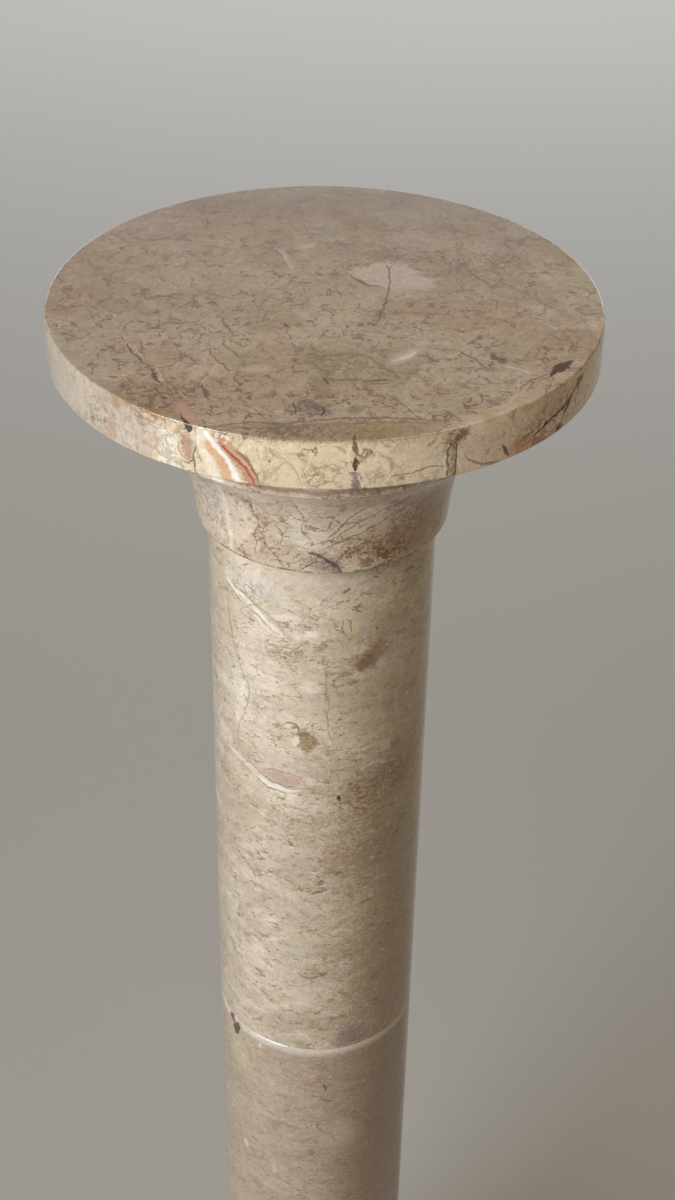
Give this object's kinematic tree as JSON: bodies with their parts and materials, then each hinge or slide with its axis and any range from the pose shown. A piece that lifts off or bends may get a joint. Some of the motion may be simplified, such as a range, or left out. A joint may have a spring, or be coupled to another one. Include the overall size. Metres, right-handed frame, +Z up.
{
  "type": "marble pedestal column",
  "caption": "Polished beige marble pedestal: a round top slab on a turned bell capital and a plain round shaft, over a matching base moulding and a round plinth.",
  "frame": {"origin": "centre of the plinth's underside, on the floor", "axes": "+Z up along the column's axis; the column is round, and -Y is the side that faces the viewer"},
  "size_m": [0.28, 0.28, 1],
  "materials": {
    "plinth_marble": "polished",
    "base_marble": "polished",
    "lower_shaft_marble": "polished",
    "upper_shaft_marble": "polished",
    "capital_marble": "polished",
    "slab_marble": "polished"
  },
  "bodies": {
    "root": {"plinth": "plinth_marble", "base_moulding": "base_marble", "lower_drum": "lower_shaft_marble", "upper_drum": "upper_shaft_marble", "capital": "capital_marble", "top_slab": "slab_marble"}
  },
  "joints": []
}
